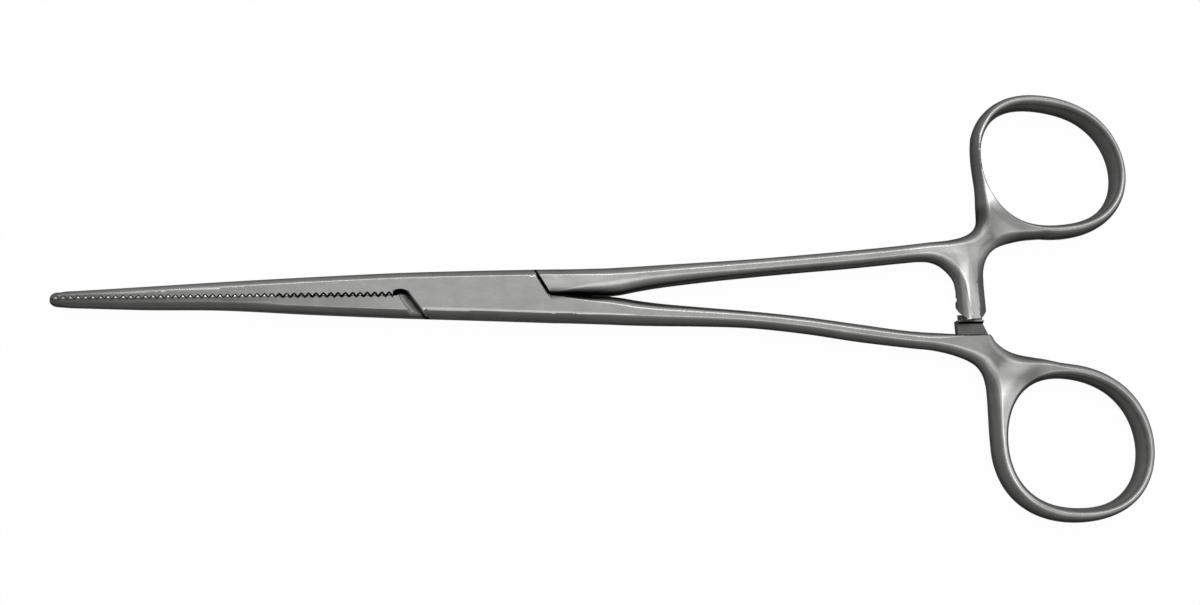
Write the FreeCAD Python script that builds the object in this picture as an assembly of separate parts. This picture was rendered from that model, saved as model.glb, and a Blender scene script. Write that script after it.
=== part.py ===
# Straight hemostat forceps with a box lock, closed, lying flat.
# Frame: origin on the pin axis at the underside of the box, X towards the finger rings,
# Y across the instrument and Z up. Lengths are millimetres, angles are degrees.
import FreeCAD, Part
import math
import os

V = FreeCAD.Vector

# Jaws and box
JAW_LENGTH = 76.1
BOX_UPPER = 4.55
BOX_LOWER = 4.50
BOX_THICK = 5.4
BOX_END = 13.5
BOX_END_LOWER = 5.08
BOX_END_UPPER = 4.72
NOSE_RADIUS = 1.4
NOSE_FLARE = 12.0
NOSE_SLOPE = 0.35
# Share of the jaw length, of the box above and below the closing line, and of its thickness
JAW_SECTIONS = (
    (1.02, 0.24, 0.30, 0.52),
    (0.92, 0.32, 0.36, 0.56),
    (0.79, 0.44, 0.44, 0.64),
    (0.62, 0.60, 0.48, 0.75),
    (0.39, 0.79, 0.70, 0.88),
    (0.19, 0.93, 0.87, 0.97),
)
BEVEL_WIDTH = 1.2
BEVEL_DROP = 1.7
BEVEL_CROWN = 0.05
ROUND_CROWN = 0.19

# Serrations along the closing line
TOOTH_PITCH = 1.3
TOOTH_DEPTH = 0.5
TOOTH_START = 0.9
TOOTH_ROOM = 2.3
TOOTH_CLEAR_TIP = 0.07
TOOTH_CLEAR_BOX = 0.32

# Box lock: the cheeks' edges, the slot between them and the pin
CROTCH_X = 12.86
CROTCH_Y = 0.38
CHEEK_FOOT_X = 9.29
CHEEK_FOOT_Y = 4.42
RIGHT_CROTCH_X = 12.79
RIGHT_CROTCH_Y = 0.36
CHEEK_HEAD_X = 10.12
CHEEK_HEAD_Y = 4.19
SLOT_CORNER_X = 7.4
SLOT_CORNER_Y = 4.4
SLOT_HEIGHT = 2.4
TONGUE_PLAY = 0.05
END_PLAY = 0.12
SHOULDER_PLAY = 0.15
RIGHT_SHOULDER_PLAY = 0.35
RUNOUT_X = -6.97
RUNOUT_Y = 2.93
RUNOUT_RADIUS = 8.16
RUNOUT_CURVE = 2.3
PIN_RADIUS = 2.0
PIN_PLAY = 0.05

# Shanks
SHANK_LENGTH = 93.0
SHANK_GAP = 0.14
SHANK_END_THICK = 4.1
SHANK_BEVEL = 0.42
SHANK_ROUNDNESS = 0.8
ROUND_FROM = 0.33
UPPER_OPENING = 7.42
UPPER_SPREAD = 6.13
LOWER_OPENING = 8.94
LOWER_SPREAD = 9.02
# Share of the run behind the box, of the opening at the inner edge and of the spread of the outer
# edge that is reached there, and the inner bevel as a share of the width
UPPER_SHANK = (
    (0.000, 0.000, 0.000, 0.05),
    (0.041, 0.000, 0.007, 0.13),
    (0.088, 0.000, 0.023, 0.23),
    (0.129, 0.003, 0.039, 0.31),
    (0.160, 0.032, 0.062, 0.36),
    (0.193, 0.100, 0.085, 0.40),
    (0.234, 0.175, 0.121, 0.42),
    (0.333, 0.306, 0.197, 0.42),
    (0.462, 0.447, 0.299, 0.42),
    (0.591, 0.569, 0.427, 0.42),
    (0.719, 0.674, 0.571, 0.42),
    (0.848, 0.805, 0.731, 0.42),
    (0.942, 0.912, 0.858, 0.42),
    (1.000, 1.000, 1.000, 0.42),
)
LOWER_SHANK = (
    (0.000, 0.000, 0.000, 0.05),
    (0.041, 0.000, 0.013, 0.13),
    (0.088, 0.003, 0.033, 0.23),
    (0.129, 0.009, 0.051, 0.31),
    (0.160, 0.038, 0.067, 0.36),
    (0.193, 0.089, 0.081, 0.40),
    (0.234, 0.143, 0.094, 0.42),
    (0.333, 0.235, 0.115, 0.42),
    (0.462, 0.346, 0.163, 0.42),
    (0.591, 0.474, 0.295, 0.42),
    (0.719, 0.640, 0.479, 0.42),
    (0.848, 0.804, 0.629, 0.42),
    (0.942, 0.877, 0.778, 0.42),
    (1.000, 1.000, 1.000, 0.42),
)

# Finger rings: oval centrelines with an oval section, a little longer than wide
UPPER_RING_AHEAD = 18.1
UPPER_RING_RISE = 25.0
UPPER_RING_LONG = 14.7
UPPER_RING_SHORT = 13.4
UPPER_RING_TILT = -19.0
LOWER_RING_AHEAD = 17.1
LOWER_RING_DROP = 29.1
LOWER_RING_LONG = 14.3
LOWER_RING_SHORT = 13.6
LOWER_RING_TILT = -7.0
RING_BAND = 2.4
RING_HEIGHT = 5.2
RING_CREST = 0.75

# Webs between shank, ring and ratchet
WEB_THICK = 3.8
WEB_BEVEL = 0.7
WEB_STEP_Y = -0.2

# Ratchets: the upper arm lies in front of the lower one, with teeth that face each other
ARM_SETBACK = 2.3
ARM_WIDTH = 5.5
ARM_TOP = 5.0
ARM_END = 5.3
ARM_ROOT_Y = 7.0
ARM_LEFT_BEVEL = 1.05
ARM_RIGHT_BEVEL = 2.3
ARM_EDGE = 0.4
RATCHET_PITCH = 2.1
RATCHET_TEETH = 3
RATCHET_FACE = 0.35
RATCHET_LAND = 0.7
UPPER_TIP_Y = -2.75
UPPER_TIP_Z = 1.95
UPPER_GULLET_Z = 2.75
STUB_INSET = 0.1
STUB_BACK_Z = 0.6
STUB_RIDGE_Y = -5.6
STUB_RIDGE_Z = 2.85
STUB_FLOOR_Z = 1.9
STUB_RAMP = 2.2
STUB_ROOT_Y = -9.6
STUB_STEP_Y = -8.5

MID = BOX_THICK / 2
REACH = 12.0
TALL = 2 * BOX_THICK
ARM_LEFT = SHANK_LENGTH - ARM_SETBACK
ARM_RIGHT = ARM_LEFT + ARM_WIDTH


def face(points):
    """Flat face inside a closed polygon."""
    return Part.Face(Part.makePolygon(points + [points[0]]))


def prism(plan, low, high):
    """Plan polygon, as x and y pairs, raised from one height to another."""
    return face([V(x, y, low) for x, y in plan]).extrude(V(0, 0, high - low))


def across(profile, left, right):
    """Profile polygon, as y and z pairs, run along X from left to right."""
    return face([V(left, y, z) for y, z in profile]).extrude(V(right - left, 0, 0))


def joined(pieces):
    """Pieces of one forging as a single clean solid."""
    return pieces[0].multiFuse(pieces[1:]).removeSplitter()


def mirrored(shape):
    """Same shape on the other side of the mid-plane."""
    return shape.mirror(V(0, 0, MID), V(0, 0, 1))


def corner(start, end, crown, middle):
    """Bevelled corner that bulges outwards from the middle of the section by a share of its width."""
    half = (start + end) * 0.5
    out = V(0, end.z - start.z, start.y - end.y)
    if out.dot(half - middle) < 0:
        out = out * -1
    return Part.Arc(start, half + out * crown, end).toShape()


def section(x, low, high, thick, low_bevel, high_bevel):
    """Section of a bar across X: flat faces and sides, with four crowned bevels between them."""
    middle = V(x, (low + high) / 2, MID)
    half = thick / 2
    (low_width, low_drop, low_crown), (high_width, high_drop, high_crown) = low_bevel, high_bevel
    p = [
        V(x, low + low_width, MID + half),
        V(x, high - high_width, MID + half),
        V(x, high, MID + half - high_drop),
        V(x, high, MID - half + high_drop),
        V(x, high - high_width, MID - half),
        V(x, low + low_width, MID - half),
        V(x, low, MID - half + low_drop),
        V(x, low, MID + half - low_drop),
    ]
    edges = [
        Part.LineSegment(p[0], p[1]).toShape(),
        corner(p[1], p[2], high_crown, middle),
        Part.LineSegment(p[2], p[3]).toShape(),
        corner(p[3], p[4], high_crown, middle),
        Part.LineSegment(p[4], p[5]).toShape(),
        corner(p[5], p[6], low_crown, middle),
        Part.LineSegment(p[6], p[7]).toShape(),
        corner(p[7], p[0], low_crown, middle),
    ]
    return Part.Wire(edges)


def nose():
    """Round nose about the jaws' axis, which opens wide behind the tip."""
    r = NOSE_RADIUS
    tip = V(-JAW_LENGTH, 0, MID)
    bend = tip + V(r * (1 - math.sqrt(0.5)), 0, r * math.sqrt(0.5))
    shoulder = tip + V(r, 0, r)
    flare = shoulder + V(NOSE_FLARE, 0, NOSE_FLARE * NOSE_SLOPE)
    far = V(BOX_END + REACH, 0, MID + REACH)
    arc = Part.Arc(tip, bend, shoulder).toShape()
    rest = Part.makePolygon([shoulder, flare, V(flare.x, 0, far.z), far, V(far.x, 0, MID), tip])
    return Part.Face(Part.Wire([arc] + rest.Edges)).revolve(tip, V(1, 0, 0), 360)


def closed_pair():
    """Both jaws and the box as one tapering bar, before the two halves are parted."""
    wires = []
    for length, upper, lower, thick in JAW_SECTIONS:
        x = -length * JAW_LENGTH
        low_bevel = (BEVEL_WIDTH * lower, BEVEL_DROP * thick, BEVEL_CROWN)
        high_bevel = (BEVEL_WIDTH * upper, BEVEL_DROP * thick, BEVEL_CROWN)
        wires.append(section(x, -lower * BOX_LOWER, upper * BOX_UPPER, thick * BOX_THICK,
                             low_bevel, high_bevel))
    bevel = (BEVEL_WIDTH, BEVEL_DROP, BEVEL_CROWN)
    wires.append(section(0, -BOX_LOWER, BOX_UPPER, BOX_THICK, bevel, bevel))
    wires.append(section(BOX_END, -BOX_END_LOWER, BOX_END_UPPER, BOX_THICK, bevel, bevel))
    return Part.makeLoft(wires, True, False).common(nose())


def serration(side):
    """Zigzag of one jaw along the closing line, from the tip to the last tooth."""
    start = -JAW_LENGTH + TOOTH_START
    points = [(start - REACH, side * TOOTH_CLEAR_TIP / 2)]
    teeth = int((JAW_LENGTH - TOOTH_START - CROTCH_X - TOOTH_ROOM) / TOOTH_PITCH)
    length = teeth * TOOTH_PITCH
    for i in range(2 * teeth + 1):
        run = i * TOOTH_PITCH / 2
        gap = TOOTH_CLEAR_TIP + (TOOTH_CLEAR_BOX - TOOTH_CLEAR_TIP) * run / length
        wave = TOOTH_DEPTH / 2 if i % 2 else -TOOTH_DEPTH / 2
        points.append((start + run, side * gap / 2 + wave))
    return points


def shifted(start, end, by):
    """Line through two points, moved to its left by a distance."""
    run = math.hypot(end[0] - start[0], end[1] - start[1])
    nx, ny = -(end[1] - start[1]) / run, (end[0] - start[0]) / run
    return (start[0] + nx * by, start[1] + ny * by), (end[0] + nx * by, end[1] + ny * by)


def reach_y(start, end, y):
    """Point at a height y on the line through two points."""
    share = (y - start[1]) / (end[1] - start[1])
    return (start[0] + share * (end[0] - start[0]), y)


CROTCH = (-CROTCH_X, CROTCH_Y)
CHEEK_FOOT = (-CHEEK_FOOT_X, -CHEEK_FOOT_Y)
RIGHT_CROTCH = (RIGHT_CROTCH_X, -RIGHT_CROTCH_Y)
CHEEK_HEAD = (CHEEK_HEAD_X, CHEEK_HEAD_Y)
SLOT_CORNER = (-SLOT_CORNER_X, SLOT_CORNER_Y)
RIGHT_SLOT_CORNER = (SLOT_CORNER_X, -SLOT_CORNER_Y)


def box_plan():
    """Plan of the box half up to the box's end: upper jaw and cheeks."""
    teeth = serration(1)
    last = (teeth[-1][0], CROTCH_Y + TOOTH_DEPTH / 2)
    return teeth + [last, CROTCH, reach_y(CROTCH, CHEEK_FOOT, -REACH),
                    (BOX_END + REACH, -REACH), (BOX_END + REACH, -RIGHT_CROTCH_Y), RIGHT_CROTCH,
                    reach_y(RIGHT_CROTCH, CHEEK_HEAD, REACH), (teeth[0][0], REACH)]


def tongue_plan():
    """Plan of the tongue half up to the box's end: lower jaw, tongue and start of the upper shank."""
    teeth = serration(-1)
    left = shifted(CROTCH, SLOT_CORNER, -END_PLAY)
    right = shifted(RIGHT_CROTCH, RIGHT_SLOT_CORNER, -END_PLAY)
    inner = -RIGHT_CROTCH_Y + SHANK_GAP
    return teeth + [(teeth[-1][0], -CROTCH_Y), (-CROTCH_X, left[0][1] - END_PLAY), left[0],
                    reach_y(*left, REACH), (BOX_END + REACH, REACH), (BOX_END + REACH, inner),
                    (RIGHT_CROTCH_X, inner), right[0], reach_y(*right, -REACH), (teeth[0][0], -REACH)]


def cheek_space(low, high):
    """Room for one cheek, cut from the tongue half."""
    left = shifted(CROTCH, CHEEK_FOOT, -SHOULDER_PLAY)
    right = shifted(RIGHT_CROTCH, CHEEK_HEAD, -RIGHT_SHOULDER_PLAY)
    plan = [reach_y(*left, REACH), reach_y(*left, -REACH), (BOX_END + REACH, -REACH),
            (BOX_END + REACH, -REACH / 2), reach_y(*right, -REACH / 2), reach_y(*right, REACH)]
    return prism(plan, low, high)


def runout():
    """Concave run-out of the cutter that clears the lower jaw's shoulder, above the tongue."""
    floor = MID + SLOT_HEIGHT / 2 - TONGUE_PLAY
    rise = BOX_THICK - floor
    run = math.sqrt(2 * RUNOUT_CURVE * rise - rise * rise)
    inside = RUNOUT_RADIUS - run
    half = run / 2
    sag = RUNOUT_CURVE - math.sqrt(RUNOUT_CURVE ** 2 - half ** 2)
    foot = V(inside, 0, floor)
    rim = V(RUNOUT_RADIUS, 0, BOX_THICK)
    arc = Part.Arc(foot, V(inside + half, 0, floor + sag), rim).toShape()
    rest = Part.makePolygon([rim, V(RUNOUT_RADIUS, 0, TALL), V(0, 0, TALL), V(0, 0, floor), foot])
    cut = Part.Face(Part.Wire([arc] + rest.Edges)).revolve(V(0, 0, 0), V(0, 0, 1), 360)
    cut.translate(V(RUNOUT_X, RUNOUT_Y, 0))
    side = prism([(-CROTCH_X - REACH, -REACH), (0, -REACH), CROTCH, (-CROTCH_X - REACH, CROTCH_Y)],
                 floor, TALL)
    return cut.common(side)


def shank(stations, inner_edge, opening, outer_edge, spread, side):
    """Shank from the box to its ring, a bar whose round inner edge widens behind the crotch."""
    wires = []
    for run, opened, spread_out, inner_share in stations:
        x = BOX_END + run * (SHANK_LENGTH - BOX_END)
        inner = inner_edge + opened * opening
        outer = outer_edge + spread_out * spread
        width = outer - inner
        thick = SHANK_END_THICK + (BOX_THICK - SHANK_END_THICK) * (1 - run) ** 2
        rounding = min(1, run / ROUND_FROM)
        deep = BEVEL_DROP + (thick / 2 - BEVEL_DROP) * SHANK_ROUNDNESS * rounding
        crown = BEVEL_CROWN + (ROUND_CROWN - BEVEL_CROWN) * rounding
        outer_wide = BEVEL_WIDTH + (SHANK_BEVEL * width - BEVEL_WIDTH) * rounding
        inner_wide = inner_share * width
        inside = (inner_wide, min(inner_wide / BEVEL_WIDTH * BEVEL_DROP, deep), crown)
        outside = (outer_wide, deep, crown)
        if side > 0:
            wires.append(section(x, inner, outer, thick, inside, outside))
        else:
            wires.append(section(x, -outer, -inner, thick, outside, inside))
    return Part.makeLoft(wires, True, True)


def oval_arcs(long, short):
    """Four tangent arcs of an oval in its own axes: centre, radius, middle angle and half angle."""
    end_radius = long / (1 + 2 * (long - short) / long)
    return four_arcs(long, short, end_radius)


def four_arcs(long, short, end_radius):
    """Arcs of an oval from its half length, half width and the radius of its ends."""
    offset = long - end_radius
    rise = (offset ** 2 - (short - end_radius) ** 2) / (2 * (short - end_radius))
    half = math.degrees(math.atan2(rise, offset))
    return [((offset, 0), end_radius, 0, half), ((0, -rise), rise + short, 90, 90 - half),
            ((-offset, 0), end_radius, 180, half), ((0, rise), rise + short, 270, 90 - half)]


def direction(angle):
    """Unit vector in plan at an angle from X."""
    turn = math.radians(angle)
    return V(math.cos(turn), math.sin(turn), 0)


def ring_section(middle, out):
    """Standing oval section of a ring: two broad arcs, and at each end a crest of two flats."""
    edges = []
    for (along, beside), radius, turn, half in four_arcs(RING_HEIGHT / 2, RING_BAND / 2, RING_CREST):
        start, bend, end = (
            middle + V(0, 0, along + radius * way.x) + out * (beside + radius * way.y)
            for way in (direction(turn - half), direction(turn), direction(turn + half)))
        if radius == RING_CREST:
            edges += Part.makePolygon([start, bend, end]).Edges
        else:
            edges.append(Part.Arc(start, bend, end).toShape())
    return Part.Face(Part.Wire(edges))


UPPER_RING = (V(SHANK_LENGTH + UPPER_RING_AHEAD, UPPER_RING_RISE, MID),
              UPPER_RING_LONG, UPPER_RING_SHORT, UPPER_RING_TILT)
LOWER_RING = (V(SHANK_LENGTH + LOWER_RING_AHEAD, -LOWER_RING_DROP, MID),
              LOWER_RING_LONG, LOWER_RING_SHORT, LOWER_RING_TILT)


def ring(centre, long, short, tilt):
    """Finger ring: the oval section turned about the centre of each arc of the centreline."""
    pieces = []
    for (along, beside), radius, turn, half in oval_arcs(long, short):
        middle = centre + direction(tilt) * along + direction(tilt + 90) * beside
        out = direction(tilt + turn - half)
        pieces.append(ring_section(middle + out * radius, out).revolve(middle, V(0, 0, 1), 2 * half))
    return joined(pieces)


def ring_points(centre, long, short, tilt, angles):
    """Points of a ring's centreline, as x and y pairs."""
    points = []
    for angle in angles:
        swing = math.cos(math.radians(2 * (angle - tilt)))
        point = centre + direction(angle) * ((long + short) / 2 + (long - short) / 2 * swing)
        points.append(((point.x, point.y),))
    return points


def bevelled_pad(edges):
    """Web of a closed plan outline at the mid-plane, with its upper and lower edges bevelled."""
    pad = Part.Face(Part.Wire(edges)).extrude(V(0, 0, WEB_THICK))
    pad.translate(V(0, 0, -WEB_THICK / 2))
    rims = [e for e in pad.Edges if e.BoundBox.ZLength < WEB_BEVEL / 2]
    return pad.makeChamfer(WEB_BEVEL, rims)


def outline(start, steps):
    """Closed run of lines and arcs: a step is its end, or a point on the arc and then its end."""
    here = V(*start, MID)
    edges = []
    for step in steps + [(start,)]:
        end = V(*step[-1], MID)
        if len(step) > 1:
            edges.append(Part.Arc(here, V(*step[0], MID), end).toShape())
        else:
            edges.append(Part.LineSegment(here, end).toShape())
        here = end
    return edges


def upper_web():
    """Web that carries the upper ratchet arm between shank and ring."""
    end = SHANK_LENGTH
    steps = [((end - 6.4, 6.4),), ((end - 3.4, 4.9), (ARM_LEFT, 1.6)), ((ARM_LEFT, WEB_STEP_Y),),
             ((ARM_RIGHT, WEB_STEP_Y),), ((ARM_RIGHT, 3.6),), ((end + 4.7, 7.4), (end + 8.2, 9.5)),
             ((end + 11.6, 10.9),)]
    steps += ring_points(*UPPER_RING, (250, 232, 214, 200))
    steps += [((end + 3.8, 19.6),), ((end + 3.45, 14.6),), ((end + 2.9, 12.8), (end + 1.2, 11.5)),
              ((end - 3.0, 9.4),)]
    return bevelled_pad(outline((end - 8.5, 7.9), steps))


def lower_web():
    """Web between the lower shank, its ring and the ratchet stub."""
    end = SHANK_LENGTH
    steps = [((end - 4.2, -8.3),), ((ARM_LEFT - STUB_INSET, STUB_STEP_Y),),
             ((ARM_RIGHT, STUB_STEP_Y),), ((end + 4.8, -11.2), (end + 8.5, -12.7)),
             ((end + 13.4, -13.9),)]
    steps += ring_points(*LOWER_RING, (98, 112, 130, 148, 164))
    steps += [((end + 2.1, -24.8),), ((end + 1.95, -18.2),), ((end + 1.2, -15.4), (end - 0.8, -13.5)),
              ((end - 5.0, -11.4),)]
    return bevelled_pad(outline((end - 8.5, -9.4), steps))


def upper_arm():
    """Upper ratchet arm in front of the mid-plane, before its teeth are cut."""
    shoulder = ARM_TOP - ARM_LEFT_BEVEL
    profile = [(ARM_LEFT, UPPER_TIP_Z), (ARM_LEFT, shoulder), (ARM_LEFT + ARM_LEFT_BEVEL, ARM_TOP),
               (ARM_RIGHT - ARM_RIGHT_BEVEL, ARM_TOP), (ARM_RIGHT, ARM_TOP - ARM_RIGHT_BEVEL),
               (ARM_RIGHT, UPPER_TIP_Z)]
    return face([V(x, ARM_ROOT_Y, z) for x, z in profile]).extrude(V(0, -ARM_END - ARM_ROOT_Y, 0))


def ratchet_room(teeth, left):
    """Room behind the upper arm: the ramp at its end and a number of gullets between the teeth."""
    ramp_y = UPPER_TIP_Y - RATCHET_LAND / 3
    profile = [(-ARM_END - 1, -1), (-ARM_END - 1, ARM_TOP - ARM_EDGE), (-ARM_END, ARM_TOP - ARM_EDGE),
               (ramp_y, UPPER_TIP_Z)]
    for i in range(teeth):
        crest = UPPER_TIP_Y + RATCHET_LAND + i * RATCHET_PITCH
        next_tip = crest + RATCHET_PITCH - RATCHET_LAND
        profile += [(crest, UPPER_TIP_Z), (crest + RATCHET_FACE, UPPER_GULLET_Z),
                    (crest + 2 * RATCHET_FACE, UPPER_GULLET_Z), (next_tip, UPPER_TIP_Z)]
    return across(profile + [(next_tip, -1)], left, ARM_RIGHT + REACH)


def lower_stub():
    """Lower ratchet stub behind the mid-plane: one ridge, its lead-in ramp and the recess under it."""
    profile = [(STUB_ROOT_Y, STUB_BACK_Z), (STUB_ROOT_Y, STUB_FLOOR_Z),
               (STUB_RIDGE_Y - RATCHET_FACE, STUB_FLOOR_Z), (STUB_RIDGE_Y, STUB_RIDGE_Z),
               (STUB_RIDGE_Y + RATCHET_FACE / 2, STUB_RIDGE_Z), (STUB_RIDGE_Y + STUB_RAMP, STUB_BACK_Z)]
    return across(profile, ARM_LEFT - STUB_INSET, ARM_RIGHT - STUB_INSET)


def pin(radius):
    """Lock pin, or its hole, through the whole box."""
    return Part.makeCylinder(radius, BOX_THICK)


def box_half(pair):
    """Upper jaw, cheeks, lower shank, lower ring and ratchet stub."""
    slot = prism([CROTCH, reach_y(CROTCH, SLOT_CORNER, REACH), (RIGHT_CROTCH_X, REACH), RIGHT_CROTCH,
                  reach_y(RIGHT_CROTCH, RIGHT_SLOT_CORNER, -REACH), (-CROTCH_X, -REACH)],
                 MID - SLOT_HEIGHT / 2, MID + SLOT_HEIGHT / 2)
    front = pair.common(prism(box_plan(), -1, TALL)).cut(slot).cut(pin(PIN_RADIUS))
    back = shank(LOWER_SHANK, RIGHT_CROTCH_Y, LOWER_OPENING, BOX_END_LOWER, LOWER_SPREAD, -1)
    return joined([front, back, ring(*LOWER_RING), lower_web(), lower_stub()])


def tongue_half(pair):
    """Lower jaw, tongue, upper shank, upper ring and ratchet arm."""
    top = MID + SLOT_HEIGHT / 2 - TONGUE_PLAY
    front = pair.common(prism(tongue_plan(), -1, TALL))
    cheek = cheek_space(top, TALL)
    run = runout()
    for cut in (cheek, mirrored(cheek), run, mirrored(run), pin(PIN_RADIUS + PIN_PLAY)):
        front = front.cut(cut)
    arm = upper_web().fuse(upper_arm()).cut(ratchet_room(1, ARM_LEFT - 1))
    arm = arm.cut(ratchet_room(RATCHET_TEETH, ARM_LEFT + ARM_LEFT_BEVEL))
    back = shank(UPPER_SHANK, SHANK_GAP - RIGHT_CROTCH_Y, UPPER_OPENING, BOX_END_UPPER, UPPER_SPREAD, 1)
    return joined([front, back, ring(*UPPER_RING), arm])


os.makedirs("parts", exist_ok=True)
pair = closed_pair()
for name, shape in (("box_half", box_half(pair)), ("tongue_half", tongue_half(pair)),
                    ("lock_pin", pin(PIN_RADIUS))):
    print(name, shape.isValid(), len(shape.Solids), round(shape.Volume, 1), shape.BoundBox)
    shape.exportStep("parts/" + name + ".step")
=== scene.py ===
# Straight hemostat forceps with a box lock, closed, lying on a pale table under soft light.
import bpy
import math
import numpy as np
from mathutils import Matrix, Vector
from mathutils.geometry import delaunay_2d_cdt


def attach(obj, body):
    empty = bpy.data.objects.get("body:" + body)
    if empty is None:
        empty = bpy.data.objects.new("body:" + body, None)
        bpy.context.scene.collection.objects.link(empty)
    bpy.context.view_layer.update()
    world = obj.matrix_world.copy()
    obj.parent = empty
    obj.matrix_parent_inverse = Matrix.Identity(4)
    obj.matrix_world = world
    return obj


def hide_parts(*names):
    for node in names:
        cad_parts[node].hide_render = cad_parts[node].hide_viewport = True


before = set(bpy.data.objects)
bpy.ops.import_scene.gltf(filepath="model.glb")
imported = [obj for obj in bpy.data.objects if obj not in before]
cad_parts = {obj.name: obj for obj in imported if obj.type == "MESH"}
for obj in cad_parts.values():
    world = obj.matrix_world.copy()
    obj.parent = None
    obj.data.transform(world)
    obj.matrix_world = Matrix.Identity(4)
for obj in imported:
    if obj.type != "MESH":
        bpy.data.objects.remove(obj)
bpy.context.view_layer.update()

# Table and view. The instrument lies on a plain white table top, seen from almost straight above,
# a little from the side of the lower ring, and nothing else is near it.
scene = bpy.context.scene
scene.view_settings.view_transform = "Standard"

camera_data = bpy.data.cameras.new("overhead_view")
camera_data.sensor_width = 36.0
camera_data.lens = 32.17
camera_data.clip_start = 0.01
camera = bpy.data.objects.new("overhead_view", camera_data)
camera.location = (0.005745, -0.041909, 0.196824)
camera.rotation_euler = [math.radians(angle) for angle in (11.861, -4.574, -1.469)]
scene.collection.objects.link(camera)
scene.camera = camera

table_mesh = bpy.data.meshes.new("table_top")
reach = 1.5
table_gap = 0.00008
corners = [(-reach, -reach, 0), (reach, -reach, 0), (reach, reach, 0), (-reach, reach, 0)]
table_mesh.from_pydata(corners, [], [(0, 1, 2, 3)])
table = bpy.data.objects.new("table_top", table_mesh)
table.location = (0, 0, -table_gap)
scene.collection.objects.link(table)


def seen_plainly(nodes, links):
    """Share of 1 for rays from the lens, and for those mirrored or bent on their way to it."""
    rays = nodes.new("ShaderNodeLightPath")
    first = nodes.new("ShaderNodeMath")
    first.operation = "MAXIMUM"
    second = nodes.new("ShaderNodeMath")
    second.operation = "MAXIMUM"
    links.new(rays.outputs["Is Camera Ray"], first.inputs[0])
    links.new(rays.outputs["Is Glossy Ray"], first.inputs[1])
    links.new(first.outputs[0], second.inputs[0])
    links.new(rays.outputs["Is Transmission Ray"], second.inputs[1])
    return second.outputs[0]


table_white = bpy.data.materials.new("table_white")
table_white.use_nodes = True
nodes = table_white.node_tree.nodes
links = table_white.node_tree.links
nodes.clear()
paint = nodes.new("ShaderNodeBsdfDiffuse")
paint.inputs["Color"].default_value = (0.95, 0.95, 0.95, 1)
glow = nodes.new("ShaderNodeEmission")
glow.inputs["Color"].default_value = (1, 1, 1, 1)
glow.inputs["Strength"].default_value = 1.0
glow_share = 0.97
share = nodes.new("ShaderNodeMath")
share.operation = "MULTIPLY"
share.inputs[1].default_value = glow_share
links.new(seen_plainly(nodes, links), share.inputs[0])
mix = nodes.new("ShaderNodeMixShader")
links.new(share.outputs[0], mix.inputs["Fac"])
links.new(paint.outputs[0], mix.inputs[1])
links.new(glow.outputs[0], mix.inputs[2])
output = nodes.new("ShaderNodeOutputMaterial")
links.new(mix.outputs[0], output.inputs["Surface"])
table_mesh.materials.append(table_white)

surroundings = bpy.data.worlds.new("white_room")
scene.world = surroundings
surroundings.use_nodes = True
nodes = surroundings.node_tree.nodes
links = surroundings.node_tree.links
nodes.clear()
soft = nodes.new("ShaderNodeBackground")
soft.inputs["Color"].default_value = (1, 1, 1, 1)
soft.inputs["Strength"].default_value = 0.4
white = nodes.new("ShaderNodeBackground")
white.inputs["Color"].default_value = (1, 1, 1, 1)
white.inputs["Strength"].default_value = 1.0
mix = nodes.new("ShaderNodeMixShader")
links.new(seen_plainly(nodes, links), mix.inputs["Fac"])
links.new(soft.outputs[0], mix.inputs[1])
links.new(white.outputs[0], mix.inputs[2])
output = nodes.new("ShaderNodeOutputWorld")
links.new(mix.outputs[0], output.inputs["Surface"])

for name, place, size, power in (("overhead_softbox", (0.05, 0.25, 1.0), (1.2, 1.2), 3.6),
                                 ("window_strip", (0.02, 0.35, 0.54), (0.8, 0.1), 1.0),
                                 ("near_strip", (0.03, -0.17, 0.54), (0.8, 0.05), 0.32)):
    lamp = bpy.data.lights.new(name, "AREA")
    lamp.shape = "RECTANGLE"
    lamp.size, lamp.size_y = size
    lamp.energy = power
    stand = bpy.data.objects.new(name, lamp)
    stand.location = place
    stand.rotation_euler = (-Vector(place)).to_track_quat("-Z", "Y").to_euler()
    scene.collection.objects.link(stand)


# Box half. One forging of stainless steel, satin finished: the upper jaw, the two cheeks of the box
# with the slot between them, the lower shank, the lower finger ring and the short ratchet stub.
# In millimetres. Plan rows are x, y, then the width, drop and bend of the rounded edge.
MM = 0.001
MIDDLE = 2.7
BOX_END = 13.5
SHANK_RUN = 79.5
BEVEL_DROP = 1.7
RING_HALF = 2.6
WIDEST = 3.0
WHOLE = 9.0
ROUND = 2.0
SHARP = (0.1, 0.1, 1.6)
BROKEN = (0.3, 0.26, 1.3)


def smooth(rows, step):
    """Smooth run through plan rows, with a row every step millimetres."""
    rows = np.array(rows, float)
    knots = np.concatenate([[0], np.cumsum(np.hypot(*np.diff(rows[:, :2], axis=0).T))])
    slopes = np.gradient(rows, knots, axis=0)
    at = np.linspace(0, knots[-1], max(2, int(knots[-1] / step) + 1))
    i = np.clip(np.searchsorted(knots, at, side="right") - 1, 0, len(knots) - 2)
    span = (knots[i + 1] - knots[i])[:, None]
    t = ((at - knots[i]) / span[:, 0])[:, None]
    return ((1 + 2 * t) * (1 - t) ** 2 * rows[i] + t * (1 - t) ** 2 * span * slopes[i]
            + t * t * (3 - 2 * t) * rows[i + 1] - t * t * (1 - t) * span * slopes[i + 1])


def straight(rows, step):
    """Straight runs between plan rows, with a row at least every step millimetres."""
    made = []
    for a, b in zip(rows, rows[1:]):
        a, b = np.array(a, float), np.array(b, float)
        count = max(1, math.ceil(np.hypot(*(b - a)[:2]) / step))
        made += [a + (b - a) * k / count for k in range(count)]
    return np.array(made + [np.array(rows[-1], float)])


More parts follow.
